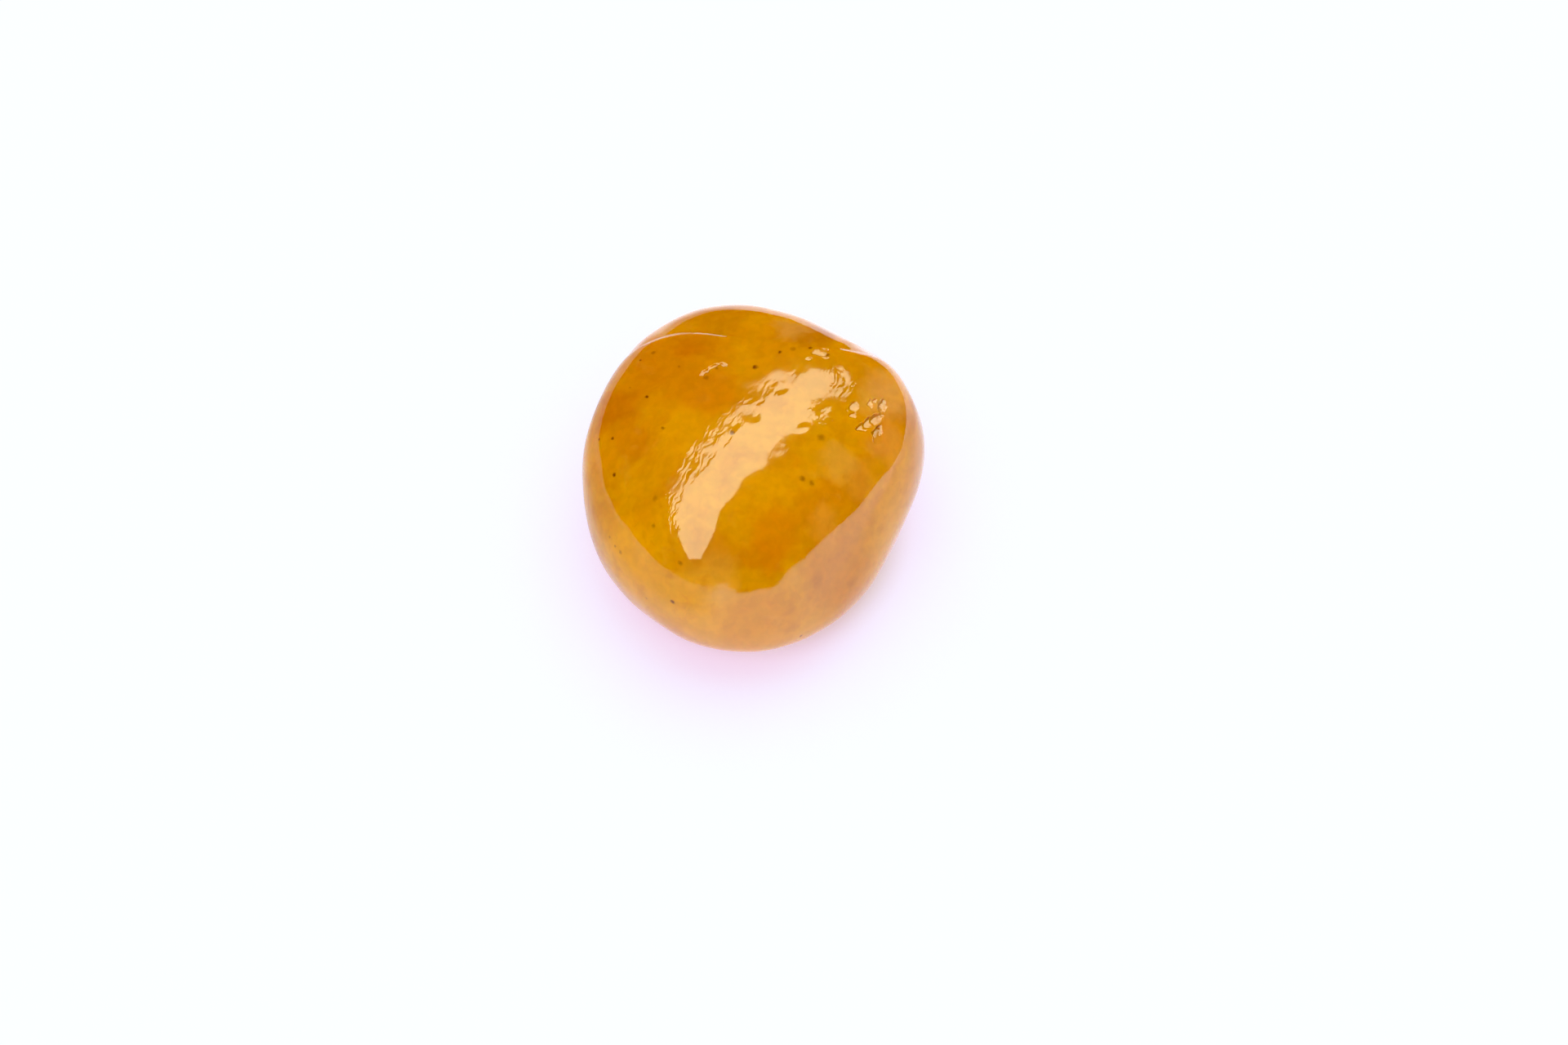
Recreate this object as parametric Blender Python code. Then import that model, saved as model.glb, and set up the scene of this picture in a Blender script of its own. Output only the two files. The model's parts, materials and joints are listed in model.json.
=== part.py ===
"""A carnelian pebble: one chunk of chalcedony, tumbled until its broken faces run softly into each other.

Metres, +Z up. The stone lies on its broadest worn face. The origin is the middle of its underside's box.
"""
from math import cos, exp, pi, radians, sin, tan

import bmesh
import bpy
from mathutils import Vector

MM = 0.001

# Driving dimensions, in millimetres and degrees. Azimuth 0 is +X and 90 is +Y; elevation 90 is up.
# The worn faces that bound the stone: azimuth, elevation, distance from its middle.
FACES = (
    (0, 90, 7.6),       # the broad top
    (135, 76, 8.7),     # the top falls away to the far left,
    (192, 61, 9.8),     # to the left
    (322, 63, 9.0),     # and to the near right
    (63, 29, 13.2),     # the flat on the far right
    (98, 30, 14.8),     # the far shoulder
    (130, 24, 14.9),
    (158, 9, 13.6),
    (192, 0, 13.3),     # the left side
    (208, 34, 12.4),
    (226, -12, 13.7),
    (267, -26, 14.4),   # the near side, undercut towards the ground
    (307, -16, 13.4),
    (337, -13, 12.2),   # the flat on the near right
    (25, 10, 14.1),     # the right shoulder
    (342, 16, 12.9),
    (231, 29, 13.4),    # the long slope along the near side
    (274, 29, 12.0),
    (316, 26, 10.3),
    (18, -42, 13.4),    # the sides below the middle
    (82, -36, 14.4),
    (150, -40, 12.6),
    (225, -44, 14.4),
    (298, -54, 13.2),
    (35, -66, 8.7),     # the underside, round about the face that it lies on
    (160, -64, 8.8),
    (262, -70, 8.8),
    (0, -90, 7.8),
)
SHARPNESS = 11.5        # how tightly neighbouring faces meet: a higher power is a sharper ridge
REST_DEPTH = 7.35       # the flat that it lies on, below the middle

# Low swells, and hollows where the height is negative: azimuth, elevation, angular radius, height.
SWELLS = (
    (200, 26, 14, -0.3),    # the left side is a little hollow
    (17, 33, 5, -0.15),     # a chipped patch on the right shoulder
    (118, 58, 5, -0.15),    # a chip on the far edge of the top
    (104, -12, 11, -0.25),  # worn hollows on the back and the underside
    (160, -20, 10, 0.2),
    (20, -34, 12, -0.25),
    (300, -60, 9, -0.2),
)

# The ledge across the far side of the top: past this plane, the surface steps down.
LEDGE_AZIMUTH = 83
LEDGE_ELEVATION = 31
LEDGE_DISTANCE = 10.75
LEDGE_DROP = 0.15
LEDGE_WIDTH = 0.9

GRID = 25               # quads along each edge of the cube that the mesh starts from
STRETCH = (13.3, 15.2, 7.5)     # rough half sizes, so that the quads come out even

BASE_COLOUR = (0.64, 0.26, 0.012, 1.0)
ROUGHNESS = 0.12
REFRACTIVE_INDEX = 1.54


def direction(azimuth, elevation):
    """The unit vector at an azimuth and an elevation in degrees."""
    turn, lift = radians(azimuth), radians(elevation)
    return Vector((cos(turn) * cos(lift), sin(turn) * cos(lift), sin(lift)))


FACE_NORMALS = [(direction(azimuth, elevation), distance) for azimuth, elevation, distance in FACES]
SWELL_CENTRES = [
    (direction(azimuth, elevation), radians(radius), height) for azimuth, elevation, radius, height in SWELLS
]
LEDGE_NORMAL = direction(LEDGE_AZIMUTH, LEDGE_ELEVATION)


def smooth_step(value):
    """0 below 0, 1 above 1, and an S-curve between them."""
    value = min(max(value, 0.0), 1.0)
    return value * value * (3.0 - 2.0 * value)


def reach(ray):
    """Distance from the stone's middle to its skin along a unit vector, in millimetres.

    One face alone gives distance / cos(angle), a plane. The power sum blends the planes round their ridges.
    """
    total = 0.0
    for normal, distance in FACE_NORMALS:
        facing = normal.dot(ray)
        if facing > 0.0:
            total += (facing / distance) ** SHARPNESS
    length = total ** (-1.0 / SHARPNESS)
    for centre, radius, height in SWELL_CENTRES:
        length += height * exp(-((centre.angle(ray) / radius) ** 2))
    past = (LEDGE_NORMAL.dot(ray) * length - LEDGE_DISTANCE) / LEDGE_WIDTH + 0.5
    return length - LEDGE_DROP * smooth_step(past)


def cube_sphere():
    """A cube of GRID x GRID quads a side, blown up so that its quads span nearly equal angles."""
    mesh = bmesh.new()
    bmesh.ops.create_cube(mesh, size=2.0)
    bmesh.ops.subdivide_edges(mesh, edges=mesh.edges[:], cuts=GRID - 1, use_grid_fill=True)
    for vertex in mesh.verts:
        vertex.co = Vector([tan(side * pi / 4) for side in vertex.co]).normalized()
    return mesh


def stone_mesh():
    """The stone's closed skin in metres, cut flat where it rests, with the origin under its middle."""
    mesh = cube_sphere()
    for vertex in mesh.verts:
        ray = Vector([side * half for side, half in zip(vertex.co, STRETCH)]).normalized()
        vertex.co = ray * reach(ray)
        vertex.co.z = max(vertex.co.z, -REST_DEPTH)
    corners = [[vertex.co[axis] for vertex in mesh.verts] for axis in range(3)]
    middle = [(min(side) + max(side)) / 2 for side in corners]
    base = Vector((middle[0], middle[1], min(corners[2])))
    for vertex in mesh.verts:
        vertex.co = (vertex.co - base) * MM
    bmesh.ops.recalc_face_normals(mesh, faces=mesh.faces[:])
    return mesh


def polished_chalcedony():
    """Honey-orange chalcedony with the gloss that tumbling leaves."""
    material = bpy.data.materials.new("polished_chalcedony")
    material.use_nodes = True
    shader = material.node_tree.nodes["Principled BSDF"]
    shader.inputs["Base Color"].default_value = BASE_COLOUR
    shader.inputs["Roughness"].default_value = ROUGHNESS
    shader.inputs["Metallic"].default_value = 0.0
    shader.inputs["IOR"].default_value = REFRACTIVE_INDEX
    return material


def make_stone():
    """The one solid."""
    mesh = stone_mesh()
    data = bpy.data.meshes.new("carnelian")
    mesh.to_mesh(data)
    mesh.free()
    data.shade_smooth()
    data.materials.append(polished_chalcedony())
    stone = bpy.data.objects.new("carnelian", data)
    bpy.context.scene.collection.objects.link(stone)


for leftover in list(bpy.data.objects):
    bpy.data.objects.remove(leftover, do_unlink=True)
make_stone()
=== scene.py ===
"""A tumbled carnelian pebble on a pale sheet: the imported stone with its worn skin, clouds and polish."""

import json
from math import cos, hypot, pi, radians, sin

import bpy
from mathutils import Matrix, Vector
from mathutils.noise import noise_vector, seed_set

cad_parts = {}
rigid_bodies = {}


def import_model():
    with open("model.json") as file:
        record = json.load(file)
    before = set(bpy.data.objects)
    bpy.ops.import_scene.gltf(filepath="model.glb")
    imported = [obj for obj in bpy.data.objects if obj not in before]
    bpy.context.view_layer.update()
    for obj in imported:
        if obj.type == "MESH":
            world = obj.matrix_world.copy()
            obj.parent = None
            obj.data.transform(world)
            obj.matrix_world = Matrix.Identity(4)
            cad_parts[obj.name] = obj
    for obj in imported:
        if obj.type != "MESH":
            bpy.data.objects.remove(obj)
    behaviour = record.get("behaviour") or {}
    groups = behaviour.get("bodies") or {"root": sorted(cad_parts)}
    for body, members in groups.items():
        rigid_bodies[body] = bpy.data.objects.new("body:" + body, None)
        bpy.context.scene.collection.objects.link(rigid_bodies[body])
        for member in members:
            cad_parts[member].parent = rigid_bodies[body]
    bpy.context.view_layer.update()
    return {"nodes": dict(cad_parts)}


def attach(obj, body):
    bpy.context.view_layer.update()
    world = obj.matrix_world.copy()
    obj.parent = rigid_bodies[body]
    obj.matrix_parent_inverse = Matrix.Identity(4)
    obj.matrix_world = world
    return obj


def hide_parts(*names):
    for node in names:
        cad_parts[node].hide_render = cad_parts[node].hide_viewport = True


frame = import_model()

MM = 0.001

# The camera, at this elevation and distance from what it looks at.
CAMERA_ELEVATION = 58
CAMERA_DISTANCE = 280 * MM
CAMERA_TARGET = Vector((2.31, -4.87, 7.35)) * MM
LENS = 55
SENSOR_WIDTH = 23.5
CLIP_START = 10 * MM

# Places and sizes on the stone are in millimetres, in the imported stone's own frame.

# The skin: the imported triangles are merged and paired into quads, each quad is halved SKIN_LEVELS times,
# and its facets are worn away.
MERGE_DISTANCE = 0.001
PAIRING_ANGLE = 60
SKIN_LEVELS = 2
SKIN_SMOOTHING = 20

# The crown, where the polish shows every ripple, gets quads half that size.
CROWN_CENTRE = (0.5, -1.0, 14.5)
CROWN_RADII = (9.2, 11.5, 5.5)

# The chipped patches, whose mesh is finer still: centre, radii.
CHIPPED = (
    ((8.6, 0.6, 14.0), (2.2, 2.0, 1.5)),
    ((4.9, 5.5, 14.7), (1.3, 1.0, 1.0)),
    ((-3.1, 4.6, 14.3), (1.5, 1.0, 1.0)),
)

# The far side of the crown ends in a ledge. Its edge runs across the stone, bent round at the left.
LEDGE_EDGE = (7.07, -0.218, 0.0115)     # its y is first + second * x + third * x * x,
LEDGE_BEND = (10.6, 0.32)               # but never more than first + second * x,
LEDGE_BLEND = 1.6       # and the two blend where they are this close
LEDGE_DROP = 0.16
LEDGE_WIDTH = 0.45
LEDGE_REACH = 4.0       # this far past its edge, the skin is back on the stone's own curve
LEDGE_LOWEST = 9.0      # there is no ledge below this height
LEDGE_ENDS = ((-5.2, 8.5, 13.4), 4.0), ((8.8, 5.8, 13.8), 2.6)     # where it is crisp: centre, reach
LEDGE_WORN = 0.25       # the share of its drop that is left between them
LEDGE_CRISP = 1.8       # how steeply it turns crisp towards them

# The full shoulder beyond the ledge.
SHOULDER_CENTRE = (0.5, 10.8, 12.7)
SHOULDER_RADII = (10.0, 4.5, 5.0)
SHOULDER_HEIGHT = 0.22

# Tumbling leaves broad waves everywhere,
WAVE_LENGTH = 3.4
WAVE_HEIGHT = 0.10
WAVE_LOWEST = 0.3       # but none below this height, so that the stone lies flat,
EVEN_CENTRE = (5.0, -8.6, 11.2)     # and few on the near right rim of the crown,
EVEN_RADII = (6.0, 6.0, 4.0)
EVENNESS = 0.9          # where this share of their height has gone

# Dents: centre, radii, turn about +Z, depth.
DENTS = (
    ((-0.2, 0.1, 14.8), (1.2, 0.9), -30, 0.07),     # these notch the reflection of the strip light
    ((-1.3, -0.9, 14.8), (0.5, 0.9), -26, 0.035),
    ((2.1, 2.3, 14.8), (0.8, 0.5), 30, 0.03),
    ((5.2, 0.6, 14.6), (1.0, 0.5), 30, 0.06),
    ((3.7, -1.1, 14.7), (0.7, 0.45), 35, 0.03),
    ((1.9, -3.2, 14.7), (0.7, 0.35), 30, 0.02),
    ((3.0, -5.8, 14.2), (0.7, 0.45), 20, 0.04),
    ((-6.8, -8.1, 13.3), (0.25, 0.5), 20, 0.05),    # small marks on the near slope
    ((-6.6, -8.9, 13.1), (0.3, 0.7), 15, 0.05),
)
DENT_REACH = 1.5        # how far above and below its centre a dent's bowl reaches

# Chips that left flat facets: centre, half length and half width, turn about +Z, slope, azimuth it rises to.
CHIPS = (
    ((-3.75, 4.25, 14.3), (0.55, 0.22), 42, 0.17, 152),     # the crescent on the far left of the crown
    ((-3.1, 4.68, 14.35), (0.5, 0.25), 22, 0.17, 148),
    ((-2.4, 4.86, 14.4), (0.5, 0.18), 0, 0.17, 145),
    ((5.05, 5.9, 14.65), (0.75, 0.46), 5, 0.16, 106),       # the mark by the far edge
    ((4.2, 5.1, 14.75), (0.28, 0.2), 0, 0.13, 140),
    ((5.45, 5.3, 14.7), (0.28, 0.2), 0, 0.11, 110),
    ((9.8, 1.45, 13.8), (0.36, 0.7), -12, 0.4, -28),        # the chipped patch on the right shoulder
    ((8.3, -0.45, 13.9), (0.42, 0.64), -45, 0.37, -40),
    ((8.8, -0.05, 13.8), (0.44, 0.74), -40, 0.385, -38),
    ((9.3, 0.3, 13.75), (0.44, 0.74), -30, 0.41, -36),
    ((9.35, -0.75, 13.5), (0.38, 0.86), -15, 0.48, -40),
    ((7.6, 1.05, 14.4), (0.5, 0.38), 60, 0.18, -34),
    ((7.5, 0.3, 14.3), (0.28, 0.34), 0, 0.2, -37),
    ((8.85, 1.5, 14.1), (0.26, 0.5), 0, 0.27, -30),
    ((9.25, 1.75, 14.0), (0.22, 0.24), 0, 0.3, -27),
    ((7.1, 0.7, 14.45), (0.14, 0.12), 0, 0.14, -42),
)
CHIP_DEPTH = 0.6        # deeper than any of them
CHIP_REACH = 2.0        # and none of them reaches as far as this from its centre
CHIP_WALL = 0.2         # the share of a chip's half width that its steep wall takes
CHIP_RAGGED = 0.2       # how far noise pushes its outline about, at most,
CHIP_GRAIN = 0.45       # the size of that noise,
CHIP_SEED = 3           # and its seed


def select_only(piece):
    """Makes a piece the active one and the only one selected."""
    bpy.ops.object.select_all(action="DESELECT")
    piece.select_set(True)
    bpy.context.view_layer.objects.active = piece


def apply_modifier(piece, kind, **settings):
    """Adds a modifier with these settings and applies it."""
    select_only(piece)
    modifier = piece.modifiers.new(kind.lower(), kind)
    for name, value in settings.items():
        setattr(modifier, name, value)
    bpy.ops.object.modifier_apply(modifier=modifier.name)


def nearness(place, centre, radii):
    """1 at the centre of an ellipsoid in millimetres, falling to 0 at its surface and outside it."""
    offset = [(side / MM - middle) / radius for side, middle, radius in zip(place, centre, radii)]
    return max(0.0, 1.0 - sum(side * side for side in offset))


def smooth_step(value):
    """0 below 0, 1 above 1, and an S-curve between them."""
    value = min(max(value, 0.0), 1.0)
    return value * value * (3.0 - 2.0 * value)


def subdivide_where(piece, wanted):
    """Halves the quads whose middle passes the test."""
    select_only(piece)
    bpy.ops.object.mode_set(mode="EDIT")
    bpy.ops.mesh.select_mode(type="FACE")
    bpy.ops.mesh.select_all(action="DESELECT")
    bpy.ops.object.mode_set(mode="OBJECT")
    for face in piece.data.polygons:
        face.select = wanted(face.center)
    bpy.ops.object.mode_set(mode="EDIT")
    bpy.ops.mesh.subdivide(number_cuts=1)
    bpy.ops.object.mode_set(mode="OBJECT")


def weigh(piece, name, weight):
    """A vertex group that holds each vertex by the weight of its place."""
    group = piece.vertex_groups.new(name=name)
    for vertex in piece.data.vertices:
        held = weight(vertex.co)
        if held > 0.0:
            group.add([vertex.index], held, "REPLACE")


def displace(piece, texture, height, centre, size, turn=(0, 0, 0), middle=0.5, group=""):
    """Moves the skin in and out by a texture whose unit is size, in millimetres, turned about the centre."""
    bpy.ops.object.select_all(action="DESELECT")
    bpy.ops.object.empty_add(location=Vector(centre) * MM, rotation=[radians(angle) for angle in turn])
    guide = bpy.context.active_object
    guide.scale = Vector(size) * MM
    bpy.context.view_layer.update()
    apply_modifier(piece, "DISPLACE", texture=texture, texture_coords="OBJECT", texture_coords_object=guide,
                   strength=height * MM, mid_level=middle, vertex_group=group)
    bpy.data.objects.remove(guide)


def packed_copy():
    """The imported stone's mesh on its own, its triangles merged and paired into quads."""
    select_only(frame["nodes"]["carnelian"])
    bpy.ops.object.duplicate()
    copy = bpy.context.active_object
    bpy.ops.object.parent_clear(type="CLEAR_KEEP_TRANSFORM")
    bpy.ops.object.transform_apply(location=True, rotation=True, scale=True)
    copy.name = "tumbled_stone"
    copy.data.name = "tumbled_stone"
    bpy.ops.object.mode_set(mode="EDIT")
    bpy.ops.mesh.select_all(action="SELECT")
    bpy.ops.mesh.customdata_custom_splitnormals_clear()
    bpy.ops.mesh.remove_doubles(threshold=MERGE_DISTANCE * MM)
    bpy.ops.mesh.tris_convert_to_quads(face_threshold=radians(PAIRING_ANGLE),
                                       shape_threshold=radians(PAIRING_ANGLE))
    bpy.ops.object.mode_set(mode="OBJECT")
    return copy


def refined_skin():
    """A fine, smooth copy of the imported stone, ready for its relief."""
    skin = packed_copy()
    apply_modifier(skin, "SUBSURF", levels=SKIN_LEVELS, render_levels=SKIN_LEVELS)
    bpy.ops.object.mode_set(mode="EDIT")
    bpy.ops.mesh.select_all(action="SELECT")
    bpy.ops.mesh.vertices_smooth(factor=0.5, repeat=SKIN_SMOOTHING)
    bpy.ops.object.mode_set(mode="OBJECT")
    subdivide_where(skin, lambda place: nearness(place, CROWN_CENTRE, CROWN_RADII) > 0)
    subdivide_where(skin, lambda place: max(nearness(place, *patch) for patch in CHIPPED) > 0)
    return skin


def wave_share(place):
    """The share of their height that the waves have at a place."""
    worn = EVENNESS * nearness(place, EVEN_CENTRE, EVEN_RADII)
    return smooth_step(place.z / MM - WAVE_LOWEST) * (1.0 - worn)


def wear_waves(skin):
    """The broad, soft waves that tumbling leaves."""
    waves = bpy.data.textures.new("tumbling_waves", "CLOUDS")
    waves.noise_scale = 1.0
    waves.noise_depth = 1
    weigh(skin, "waves", wave_share)
    displace(skin, waves, WAVE_HEIGHT, (0, 0, 0), [WAVE_LENGTH] * 3, group="waves")


def round_bowl():
    """A texture for a round bowl, 1 in its middle and 0 at its rim, with a soft rim and floor."""
    texture = bpy.data.textures.new("bowl", "BLEND")
    texture.progression = "SPHERICAL"
    texture.use_color_ramp = True
    texture.color_ramp.interpolation = "EASE"
    texture.color_ramp.elements[0].color = (0, 0, 0, 1)
    texture.color_ramp.elements[1].color = (1, 1, 1, 1)
    return texture


def ledge(place):
    """How far down the skin is at a place by the ledge, as a share of its drop."""
    x, y, z = [side / MM for side in place]
    if z < LEDGE_LOWEST:
        return 0.0
    across = LEDGE_EDGE[0] + LEDGE_EDGE[1] * x + LEDGE_EDGE[2] * x * x
    bend = LEDGE_BEND[0] + LEDGE_BEND[1] * x
    edge = min(across, bend) - max(0.0, LEDGE_BLEND - abs(across - bend)) ** 2 / (4 * LEDGE_BLEND)
    crisp = max(nearness(place, centre, [reach] * 3) for centre, reach in LEDGE_ENDS)
    crispness = LEDGE_WORN + (1.0 - LEDGE_WORN) * smooth_step(LEDGE_CRISP * crisp)
    fall = smooth_step((y - edge) / LEDGE_WIDTH)
    return crispness * fall * (1.0 - smooth_step((y - edge) / LEDGE_REACH))


def cut_ledge(skin):
    """A low step across the far side of the crown, crisp at both ends and worn soft in its middle."""
    weigh(skin, "ledge", ledge)
    apply_modifier(skin, "DISPLACE", strength=-LEDGE_DROP * MM, mid_level=0.0, vertex_group="ledge")


def knock_dents(skin, bowl):
    """The shallow round dents."""
    for centre, radii, turn, depth in DENTS:
        displace(skin, bowl, -depth, centre, (*radii, DENT_REACH), turn=(0, 0, turn), middle=0.0)


def chip(place, centre, half, turn, slope, azimuth):
    """How deep a chip is at a place: an oval cut down to a plane that rises out of the skin at one end."""
    x, y, z = [side / MM - middle for side, middle in zip(place, centre)]
    if hypot(x, y, z) > CHIP_REACH:
        return 0.0
    push = noise_vector(place / (CHIP_GRAIN * MM)) * CHIP_RAGGED
    along = ((x + push.x) * cos(radians(turn)) + (y + push.y) * sin(radians(turn))) / half[0]
    across = ((y + push.y) * cos(radians(turn)) - (x + push.x) * sin(radians(turn))) / half[1]
    inside = smooth_step((1.0 - hypot(along, across)) / CHIP_WALL)
    rim = hypot(half[0] * cos(radians(azimuth - turn)), half[1] * sin(radians(azimuth - turn)))
    below = rim - x * cos(radians(azimuth)) - y * sin(radians(azimuth))
    return inside * slope * max(0.0, below)


def knock_chips(skin):
    """The chips, each with a steep wall at the foot of its flat facet."""
    seed_set(CHIP_SEED)
    weigh(skin, "chips", lambda place: max(chip(place, *cut) for cut in CHIPS) / CHIP_DEPTH)
    apply_modifier(skin, "DISPLACE", strength=-CHIP_DEPTH * MM, mid_level=0.0, vertex_group="chips")


def make_stone():
    """The whole pebble: skin, relief and finish."""
    stone = refined_skin()
    bowl = round_bowl()
    displace(stone, bowl, SHOULDER_HEIGHT, SHOULDER_CENTRE, SHOULDER_RADII, middle=0.0)
    wear_waves(stone)
    cut_ledge(stone)
    knock_dents(stone, bowl)
    knock_chips(stone)
    select_only(stone)
    bpy.ops.object.shade_smooth()
    stone.vertex_groups.clear()
    stone.data.materials.clear()
    stone.data.materials.append(chalcedony())
    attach(stone, "root")
    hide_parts("carnelian")


def linear(code):
    """The linear RGBA of an sRGB hex colour."""
    parts = [int(code[place:place + 2], 16) / 255 for place in (1, 3, 5)]
    return [part / 12.92 if part <= 0.04045 else ((part + 0.055) / 1.055) ** 2.4 for part in parts] + [1.0]


def add(tree, kind, settings=None, inputs=None):
    """A node with its settings. Each input, by name or number, is a value or the socket that feeds it."""
    node = tree.nodes.new(kind)
    for name, value in (settings or {}).items():
        setattr(node, name, value)
    for name, value in (inputs or {}).items():
        if isinstance(value, bpy.types.NodeSocket):
            tree.links.new(value, node.inputs[name])
        else:
            node.inputs[name].default_value = value
    return node


def new_material(name):
    """A material with its node tree and its Principled shader."""
    material = bpy.data.materials.new(name)
    material.use_nodes = True
    return material, material.node_tree, material.node_tree.nodes["Principled BSDF"]


# Colours of the chalcedony.
HONEY = "#d39300"
AMBER = "#ca8500"
ORANGE = "#bf7600"
MILK = "#dca648"
GRAIN = "#7c3c00"

REFRACTIVE_INDEX = 1.54
SCATTER_DEPTH = 1.2                 # how far light strays under the skin,
SCATTER_SHARES = (1.0, 0.5, 0.1)    # and the share of that for red, green and blue

# Drifts that pull a pattern about: the size of their noise, and how far they pull.
BROAD_DRIFT = (2.5, 3.0)
RAGGED_DRIFT = (0.625, 0.9)
MOTTLE_DRIFT = (0.667, 0.8)
GRAIN_DRIFT = (0.25, 0.25)
POLISH_DRIFT = (0.833, 0.8)

# Patterns: size, detail, the two levels of the noise between which it turns, and the value at each.
HONEY_DRIFTS = (6.25, 3, 0.4, 0.6, 0.0, 1.0)    # honey over amber
STREAKS = (1.43, 4, 0.52, 0.72, 0.0, 0.4)       # orange,
STREAK_STRETCH = (0.8, 2.2, 1.4)                # drawn out by this along each axis
VEILS = (1.82, 4, 0.58, 0.8, 0.0, 0.12)         # milk
MOTTLE = (0.77, 3, 0.3, 0.7, 0.95, 1.05)        # how bright the body is
POLISH = (1.25, 3, 0.55, 0.75, 0.07, 0.12)      # how rough the polish is

# Soft spots: their outer and inner radius, as shares of the radius or reach in the lists below.
CLOUD_EDGE = (1.1, 0.35)
GRAIN_EDGE = (1.3, 0.2)
ZONE_EDGE = (1.0, 0.3)

# Clouds inside the stone, and one painted reflection among them: centre, radius, colour, strength.
CLOUDS = (
    # the crown, from its far left
    ((-3.3, 2.2, 14.5), 3.2, "#c97c00", 0.9),
    ((-6.8, 5.4, 13.7), 4.2, "#c57900", 0.9),
    ((-4.6, 7.2, 13.8), 2.2, "#bd6c00", 0.8),
    ((-2.6, 6.3, 14.2), 2.0, "#c37800", 0.7),
    ((-10.4, 2.0, 12.8), 2.6, "#bd6e00", 0.9),
    ((-9.3, -1.2, 13.2), 2.2, "#c67a00", 0.8),
    ((-11.6, -2.2, 11.5), 2.6, "#ce8700", 0.8),
    ((-2.5, 9.9, 13.4), 3.4, "#bf7b00", 0.9),
    ((4.6, 8.0, 14.1), 2.2, "#b56f00", 0.9),
    ((0.2, 3.6, 14.7), 2.6, "#cd8a00", 0.8),
    ((6.6, 3.8, 14.7), 4.0, "#c98900", 0.9),
    ((-5.8, -1.6, 14.4), 3.0, "#d49300", 0.9),
    ((-8.0, -4.6, 13.4), 2.6, "#ce8d00", 0.8),
    ((-6.2, -8.8, 13.4), 2.6, "#d79800", 0.8),
    ((5.4, -1.8, 14.5), 3.2, "#d09200", 0.8),
    ((1.0, -6.2, 14.6), 2.8, "#d59600", 0.9),
    ((-1.6, -9.4, 14.1), 2.2, "#d09200", 0.8),
    ((1.8, -9.2, 13.5), 2.4, "#d08400", 0.9),
    ((1.4, -11.0, 12.3), 1.8, "#ce7f00", 0.9),
    ((-0.4, -11.4, 12.4), 1.1, "#cc8100", 0.7),
    ((5.8, -6.1, 13.0), 1.8, "#cc8200", 0.8),
    ((4.2, -7.4, 13.2), 1.8, "#cc8200", 0.7),
    ((11.8, 1.2, 12.4), 1.3, "#bf7800", 0.8),
    # the near sides
    ((-9.4, -9.6, 9.6), 4.6, "#df9d00", 0.9),
    ((-4.2, -13.2, 9.4), 4.0, "#e0a000", 0.9),
    ((0.6, -14.0, 7.6), 4.5, "#d38d00", 0.8),
    ((7.2, -10.0, 6.6), 4.5, "#c98100", 0.9),
    ((10.6, -4.2, 10.0), 3.0, "#d39000", 0.8),
    ((-14.4, 0.5, 7.4), 4.4, "#eaa820", 0.9),
    # milky patches; the one on the right shoulder also paints in a reflection
    ((-3.2, -12.2, 11.4), 2.6, "#dca238", 0.35),
    ((2.6, 8.3, 14.1), 1.7, "#c98c34", 0.7),
    # painted reflection: milk in the body colour that also stands in for the pale reflection along the right
    # rim
    ((10.4, 2.4, 13.6), 2.7, "#d69a46", 0.75),
    ((10.0, -1.2, 12.8), 2.0, "#dc9438", 0.5),
    ((8.2, -4.5, 12.4), 1.9, "#d99030", 0.3),
    ((5.4, -8.2, 12.0), 1.8, "#d89224", 0.6),
    ((8.5, 1.7, 14.2), 1.3, "#d8a034", 0.6),
    ((6.4, -3.6, 13.7), 1.9, "#d6a040", 0.35),
)

# Dark grains under the skin: centre, radius, strength.
GRAINS = (
    ((0.1, 4.5, 14.7), 0.24, 1.0),
    ((2.0, 5.9, 14.6), 0.18, 1.0),
    ((4.3, 6.3, 14.6), 0.15, 0.9),
    ((5.6, 5.6, 14.7), 0.22, 0.9),
    ((3.0, 6.2, 14.6), 0.25, 0.4),
    ((5.1, -1.8, 14.5), 0.34, 0.5),
    ((-1.6, -1.6, 14.8), 0.24, 0.9),
    ((-2.8, 4.6, 14.3), 0.2, 0.6),
    ((-3.6, 3.7, 14.4), 0.24, 0.5),
    ((-5.7, 5.0, 14.0), 0.14, 0.6),
    ((-8.7, 6.3, 13.0), 0.12, 0.8),
    ((-9.4, 3.6, 13.1), 0.12, 0.7),
    ((-7.7, 6.8, 13.2), 0.2, 0.5),
    ((-8.1, 2.4, 13.7), 0.16, 1.0),
    ((-6.8, -0.7, 14.1), 0.18, 0.7),
    ((-10.7, -0.5, 12.4), 0.14, 1.0),
    ((-11.8, -0.1, 11.6), 0.14, 1.0),
    ((-10.5, -3.4, 11.8), 0.18, 1.0),
    ((-7.3, -6.5, 13.4), 0.3, 0.4),
    ((-7.4, -8.5, 12.7), 0.22, 0.5),
    ((-5.4, -11.4, 12.1), 0.22, 0.6),
    ((-6.0, -12.9, 9.0), 0.2, 1.0),
    ((-8.0, -11.8, 7.7), 0.12, 0.6),
    ((-10.0, -8.8, 9.4), 0.2, 0.5),
    ((-10.4, -8.2, 9.3), 0.16, 0.5),
    ((-10.9, -7.4, 9.3), 0.16, 0.5),
    ((12.1, -2.5, 5.8), 0.2, 1.0),
    ((3.6, -13.5, 4.9), 0.16, 0.8),
    ((3.7, -5.3, 14.2), 0.26, 0.6),
    ((4.4, -5.5, 13.9), 0.24, 0.5),
    ((4.8, -11.0, 9.0), 0.7, 0.2),
    ((7.4, -9.7, 6.6), 0.6, 0.2),
)

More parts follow.
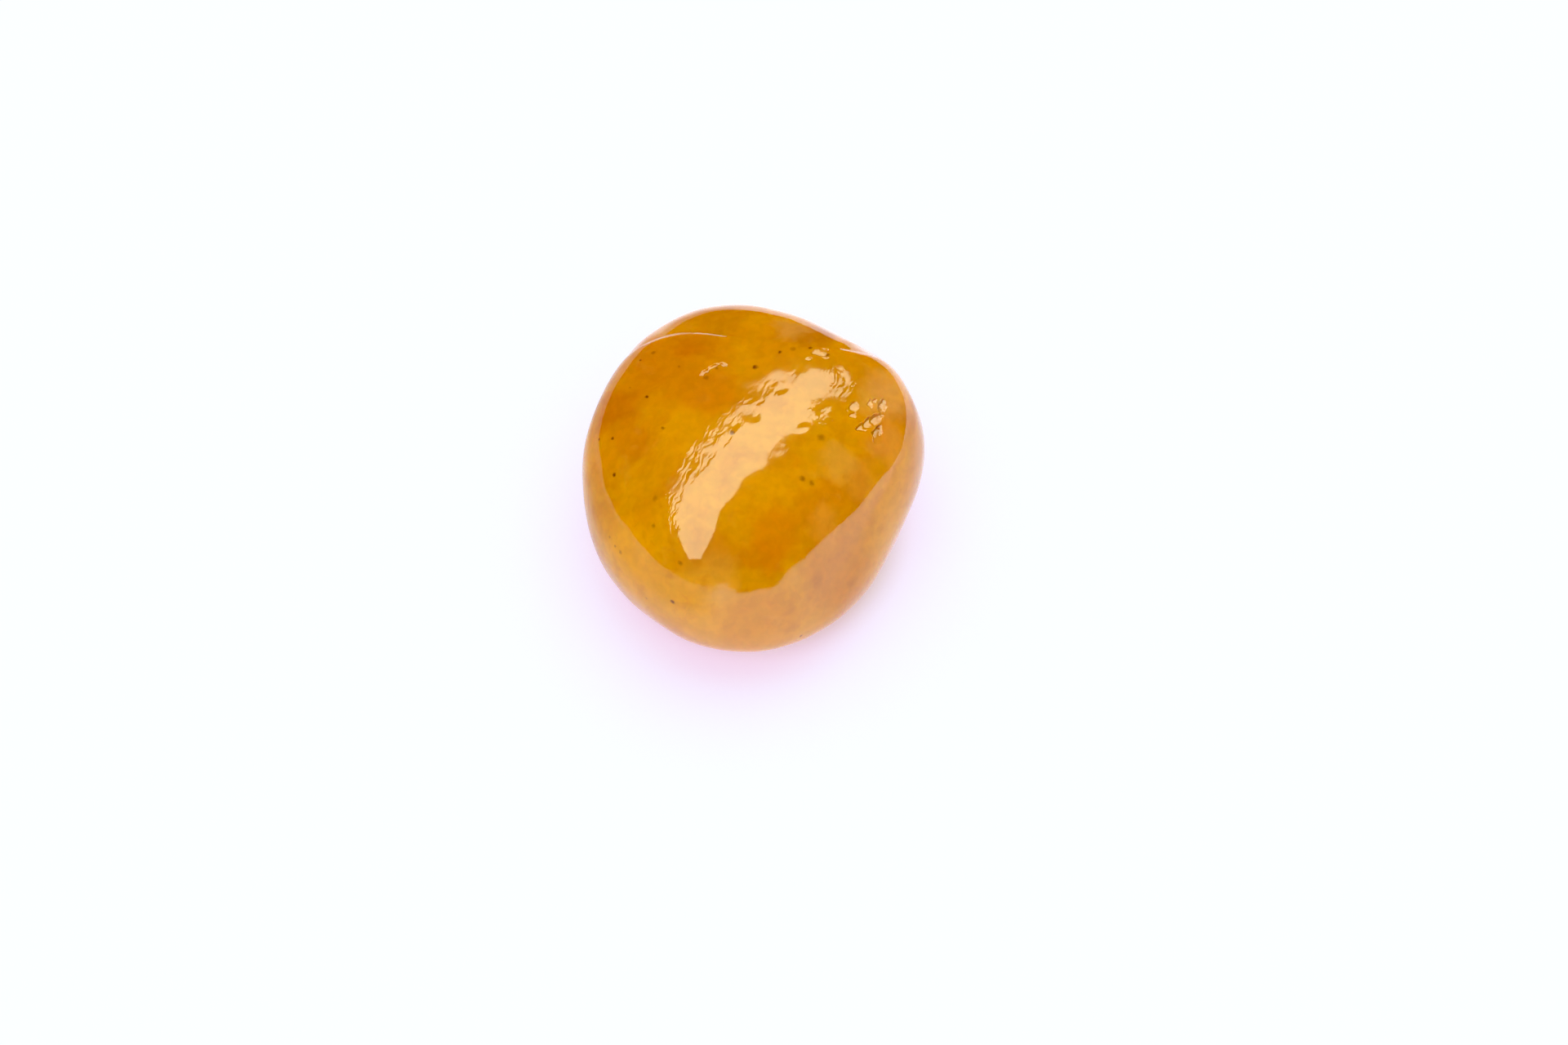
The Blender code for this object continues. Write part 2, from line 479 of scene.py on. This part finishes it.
# Where the polish is rippled: centre, reach, strength.
RIPPLED = (
    ((-6.3, -8.4, 13.5), 1.8, 0.7),
    ((-5.8, -6.6, 14.1), 1.6, 0.8),
    ((-4.8, -4.8, 14.5), 1.6, 0.8),
    ((-3.8, -3.3, 14.7), 1.6, 0.9),
    ((-2.6, -1.8, 14.8), 1.6, 0.9),
    ((-1.4, -0.3, 14.8), 1.7, 1.0),
    ((0.0, 1.0, 14.8), 1.5, 0.8),
    ((1.4, 2.4, 14.8), 1.2, 0.5),
    ((3.1, 3.7, 14.8), 1.0, 0.4),
    ((6.0, 3.8, 14.7), 1.4, 0.8),
    ((6.8, 2.6, 14.7), 1.5, 0.9),
    ((5.2, 0.2, 14.7), 1.5, 0.9),
    ((1.9, -3.2, 14.7), 1.1, 0.6),
)

# Where it is scuffed dull: centre, reach, roughness.
SCUFFED = (
    ((-6.0, -5.8, 14.1), 1.2, 0.12),
    ((-0.6, 0.1, 14.8), 1.2, 0.1),
    ((1.8, -3.2, 14.7), 0.9, 0.12),
)

# The ripples run one way, and so do the streaks in the body: turn about +Z, size along each axis, height.
RIPPLE_TURN = -26
RIPPLE_SIZE = (0.42, 1.5, 1.1)
RIPPLE_HEIGHT = 0.07

# The slight orange peel that tumbling leaves in the polish.
PEEL_SIZE = 0.9
PEEL_HEIGHT = 0.006


def place_in_millimetres(tree):
    """Where a point is on its piece."""
    place = add(tree, "ShaderNodeTexCoord").outputs["Object"]
    return add(tree, "ShaderNodeMapping", inputs={"Vector": place, "Scale": [1 / MM] * 3}).outputs[0]


def drift(tree, place, size, reach, detail=2):
    """The place pushed about by noise, so that what is laid on it has ragged edges."""
    swirl = add(tree, "ShaderNodeTexNoise", inputs={"Vector": place, "Scale": 1 / size, "Detail": detail})
    push = add(tree, "ShaderNodeVectorMath", {"operation": "SUBTRACT"},
               {0: swirl.outputs["Color"], 1: [0.5] * 3})
    return add(tree, "ShaderNodeVectorMath", {"operation": "MULTIPLY_ADD"},
               {0: push.outputs[0], 1: [reach] * 3, 2: place}).outputs[0]


def drawn_out(tree, place, size):
    """The place in units of this size, turned to run with the ripples."""
    return add(tree, "ShaderNodeMapping", {"vector_type": "TEXTURE"},
               {"Vector": place, "Rotation": (0, 0, radians(RIPPLE_TURN)), "Scale": size}).outputs[0]


def pattern(tree, place, size, detail, low, high, first, last):
    """Noise that turns from the first value to the last between these two of its levels."""
    noise = add(tree, "ShaderNodeTexNoise", inputs={"Vector": place, "Scale": 1 / size, "Detail": detail})
    return add(tree, "ShaderNodeMapRange", {"interpolation_type": "SMOOTHSTEP"},
               {"Value": noise.outputs[0], "From Min": low, "From Max": high,
                "To Min": first, "To Max": last}).outputs[0]


def spot(tree, place, centre, radius, edge, strength=1.0):
    """The strength at a centre, falling to 0 between the inner and the outer radius of its edge."""
    away = add(tree, "ShaderNodeVectorMath", {"operation": "DISTANCE"}, {0: place, 1: centre})
    return add(tree, "ShaderNodeMapRange", {"interpolation_type": "SMOOTHSTEP"},
               {"Value": away.outputs["Value"], "From Min": radius * edge[0], "From Max": radius * edge[1],
                "To Max": strength}).outputs[0]


def strongest(tree, place, zones, edge):
    """The strength of the strongest of these zones at a place. Each has a centre, a radius, a strength."""
    held = 0.0
    for centre, radius, strength in zones:
        here = spot(tree, place, centre, radius, edge, strength)
        held = add(tree, "ShaderNodeMath", {"operation": "MAXIMUM"}, {0: held, 1: here}).outputs[0]
    return held


def laid_over(tree, colour, layers):
    """The colour with these layers over it, one after the other: each has its share and its hex colour."""
    for share, code in layers:
        layer = add(tree, "ShaderNodeMix", {"data_type": "RGBA"}, {0: share, 6: colour, 7: linear(code)})
        colour = layer.outputs[2]
    return colour


def cloudy_body(tree, place):
    """The body colour: honey and amber in broad drifts, the clouds, streaks of orange, and thin veils."""
    ragged = drift(tree, drift(tree, place, *BROAD_DRIFT), *RAGGED_DRIFT, detail=4)
    layers = [(pattern(tree, ragged, *HONEY_DRIFTS), HONEY)]
    for centre, radius, code, strength in CLOUDS:
        layers.append((spot(tree, ragged, centre, radius, CLOUD_EDGE, strength), code))
    layers.append((pattern(tree, drawn_out(tree, ragged, STREAK_STRETCH), *STREAKS), ORANGE))
    layers.append((pattern(tree, ragged, *VEILS), MILK))
    return laid_over(tree, linear(AMBER), layers)


def grainy(tree, place, colour):
    """The colour with its fine mottling and its dark grains."""
    level = pattern(tree, drift(tree, place, *MOTTLE_DRIFT), *MOTTLE)
    mottled = add(tree, "ShaderNodeVectorMath", {"operation": "SCALE"}, {0: colour, "Scale": level})
    dark = strongest(tree, drift(tree, place, *GRAIN_DRIFT), GRAINS, GRAIN_EDGE)
    return laid_over(tree, mottled.outputs[0], [(dark, GRAIN)])


def worn_polish(tree, place, shader):
    """Polish with scuffs, ripples that run one way, and the slight orange peel that tumbling leaves."""
    loose = drift(tree, place, *POLISH_DRIFT, detail=3)
    roughness = add(tree, "ShaderNodeMath", {"operation": "ADD"},
                    {0: strongest(tree, loose, SCUFFED, ZONE_EDGE), 1: pattern(tree, place, *POLISH)})
    tree.links.new(roughness.outputs[0], shader.inputs["Roughness"])
    ripple = add(tree, "ShaderNodeTexNoise",
                 inputs={"Vector": drawn_out(tree, loose, RIPPLE_SIZE), "Scale": 1.0, "Detail": 1})
    rippled = add(tree, "ShaderNodeBump",
                  inputs={"Strength": strongest(tree, loose, RIPPLED, ZONE_EDGE),
                          "Distance": RIPPLE_HEIGHT * MM, "Height": ripple.outputs[0]})
    peel = add(tree, "ShaderNodeTexNoise", inputs={"Vector": place, "Scale": 1 / PEEL_SIZE, "Detail": 3})
    peeled = add(tree, "ShaderNodeBump",
                 inputs={"Distance": PEEL_HEIGHT * MM, "Height": peel.outputs[0],
                         "Normal": rippled.outputs[0]})
    tree.links.new(peeled.outputs[0], shader.inputs["Normal"])


def chalcedony():
    """Chalcedony, tumbled with ever finer grit: waxy gloss over cloudy, translucent honey and orange."""
    material, tree, shader = new_material("tumbled_chalcedony")
    place = place_in_millimetres(tree)
    colour = grainy(tree, place, cloudy_body(tree, place))
    tree.links.new(colour, shader.inputs["Base Color"])
    worn_polish(tree, place, shader)
    shader.inputs["IOR"].default_value = REFRACTIVE_INDEX
    shader.inputs["Subsurface Weight"].default_value = 1.0
    shader.inputs["Subsurface Radius"].default_value = SCATTER_SHARES
    shader.inputs["Subsurface Scale"].default_value = SCATTER_DEPTH * MM
    return material


# Stage: a sheet of opal acrylic, lit from above and softly from below.
FLOOR_RADIUS = 1600 * MM
FLOOR_DROP = 0.02 * MM
FLOOR_COLOUR = "#ffffff"    # the light that it throws back on the stone
FLOOR_SKIN = "#61b6aa"      # what the eye sees of the light that falls on it
FLOOR_OWN = "#ebb6da"       # its own light, which makes up white, and shows lilac where the stone shades it
SHADOW_PAINT_COLOUR = "#c08474"     # its own light under the stone, weaker and redder: a painted contact shadow,
SHADOW_PAINT_SPOT = (0.3, -1.0, 0.0), 12.4, (1.0, 0.645)      # and where that painted shadow lies: centre, radius, edge

# The polish sees the sheet dimmer on the left, and brighter in front and behind: axis, from, to, and the
# level at each.
FLOOR_LEVELS = (
    ("X", -30, -3, 0.45, 1.1),
    ("Y", -10, -22, 1.0, 1.6),
    ("Y", 12, 28, 1.0, 1.5),
)


def floor_level(tree, place):
    """How bright the sheet is: 1 to the eye, and by its levels to the polish."""
    sides = add(tree, "ShaderNodeSeparateXYZ", inputs={0: place})
    level = 1.0
    for axis, first, last, low, high in FLOOR_LEVELS:
        step = add(tree, "ShaderNodeMapRange", {"interpolation_type": "SMOOTHSTEP"},
                   {"Value": sides.outputs[axis], "From Min": first, "From Max": last,
                    "To Min": low, "To Max": high})
        product = add(tree, "ShaderNodeMath", {"operation": "MULTIPLY"}, {0: level, 1: step.outputs[0]})
        level = product.outputs[0]
    by_polish = add(tree, "ShaderNodeLightPath").outputs["Is Glossy Ray"]
    return add(tree, "ShaderNodeMix", inputs={0: by_polish, 2: 1.0, 3: level}).outputs[0]


def opal_sheet():
    """Opal acrylic, sanded matt: no gloss of its own. Its own light, painted weaker and redder under the
    stone as a contact shadow, reaches the eye and the polish alone.
    """
    material, tree, shader = new_material("opal_acrylic_sheet")
    shader.inputs["Roughness"].default_value = 0.9
    shader.inputs["Specular IOR Level"].default_value = 0.0
    place = place_in_millimetres(tree)
    level = floor_level(tree, place)
    on_stone = add(tree, "ShaderNodeLightPath").outputs["Is Diffuse Ray"]
    seen = add(tree, "ShaderNodeVectorMath", {"operation": "SCALE"},
               {0: linear(FLOOR_SKIN)[:3], "Scale": level})
    tree.links.new(laid_over(tree, seen.outputs[0], [(on_stone, FLOOR_COLOUR)]), shader.inputs["Base Color"])
    # Its own light turns weaker and redder in a spot under the stone: a painted contact shadow.
    own = laid_over(tree, linear(FLOOR_OWN), [(spot(tree, place, *SHADOW_PAINT_SPOT), SHADOW_PAINT_COLOUR)])
    tree.links.new(own, shader.inputs["Emission Color"])
    strength = add(tree, "ShaderNodeMix", inputs={0: on_stone, 2: level, 3: 0.0})
    tree.links.new(strength.outputs[0], shader.inputs["Emission Strength"])
    material.cycles.emission_sampling = "NONE"
    return material


def make_floor():
    """The sheet, just under the stone."""
    bpy.ops.object.select_all(action="DESELECT")
    bpy.ops.mesh.primitive_circle_add(vertices=96, radius=FLOOR_RADIUS, fill_type="NGON",
                                      location=(0, 0, -FLOOR_DROP))
    floor = bpy.context.active_object
    floor.name = "floor"
    floor.data.materials.append(opal_sheet())


# The bent strip of light that shows in the polish: its corners and height, in millimetres.
STRIP_CORNERS = (
    (-18, 326), (62, 342), (135, 215), (35, 218), (-5, 120), (-90, -240), (-320, -760),
    (-480, -1120), (-850, -1100), (-640, -280), (-396, 138), (-236, 212), (-106, 264), (-56, 310),
)
STRIP_HEIGHT = 427
STRIP_RADIANCE = 6.2
STRIP_COLOUR = "#fff9d3"


def diffuser():
    """Opal acrylic, lit from behind."""
    material = bpy.data.materials.new("opal_acrylic")
    material.use_nodes = True
    tree = material.node_tree
    tree.nodes.clear()
    light = add(tree, "ShaderNodeEmission",
                inputs={"Color": linear(STRIP_COLOUR), "Strength": STRIP_RADIANCE})
    add(tree, "ShaderNodeOutputMaterial", inputs={"Surface": light.outputs[0]})
    return material


def make_strip():
    """The strip light. Only the polish sees it: the softbox and the room light the scene."""
    bpy.ops.object.select_all(action="DESELECT")
    bpy.ops.mesh.primitive_circle_add(vertices=len(STRIP_CORNERS), fill_type="NGON")
    strip = bpy.context.active_object
    strip.name = "strip_light"
    for vertex, (x, y) in zip(strip.data.vertices, STRIP_CORNERS):
        vertex.co = Vector((x, y, STRIP_HEIGHT)) * MM
    strip.data.materials.append(diffuser())
    strip.visible_camera = False
    strip.visible_diffuse = False
    strip.visible_transmission = False
    strip.visible_shadow = False


# The light from above.
SOFTBOX_PLACE = Vector((100, 700, 1700)) * MM
SOFTBOX_SIDE = 2000 * MM
SOFTBOX_RADIANCE = 1.15

# The pale room.
ROOM_COLOUR = "#fffdff"
ROOM_RADIANCE = 0.93


def make_softbox():
    """A square of light that faces down and doesn't show in the polish."""
    data = bpy.data.lights.new("softbox", "AREA")
    data.size = SOFTBOX_SIDE
    data.energy = SOFTBOX_RADIANCE * pi * SOFTBOX_SIDE ** 2
    light = bpy.data.objects.new("softbox", data)
    bpy.context.scene.collection.objects.link(light)
    light.location = SOFTBOX_PLACE
    light.visible_glossy = False


def make_room():
    """Even light from all round, which doesn't show in the polish."""
    world = bpy.data.worlds.new("room")
    bpy.context.scene.world = world
    world.use_nodes = True
    background = world.node_tree.nodes["Background"]
    background.inputs["Color"].default_value = linear(ROOM_COLOUR)
    background.inputs["Strength"].default_value = ROOM_RADIANCE
    world.cycles_visibility.glossy = False


def make_camera():
    """A camera that looks down at the stone from the near side."""
    data = bpy.data.cameras.new("camera")
    data.lens = LENS
    data.sensor_width = SENSOR_WIDTH
    data.clip_start = CLIP_START
    camera = bpy.data.objects.new("camera", data)
    bpy.context.scene.collection.objects.link(camera)
    lift = radians(CAMERA_ELEVATION)
    camera.location = CAMERA_TARGET + Vector((0, -cos(lift), sin(lift))) * CAMERA_DISTANCE
    camera.rotation_euler = (radians(90 - CAMERA_ELEVATION), 0, 0)
    bpy.context.scene.camera = camera


bpy.context.scene.view_settings.view_transform = "Standard"
make_stone()
make_floor()
make_strip()
make_softbox()
make_room()
make_camera()
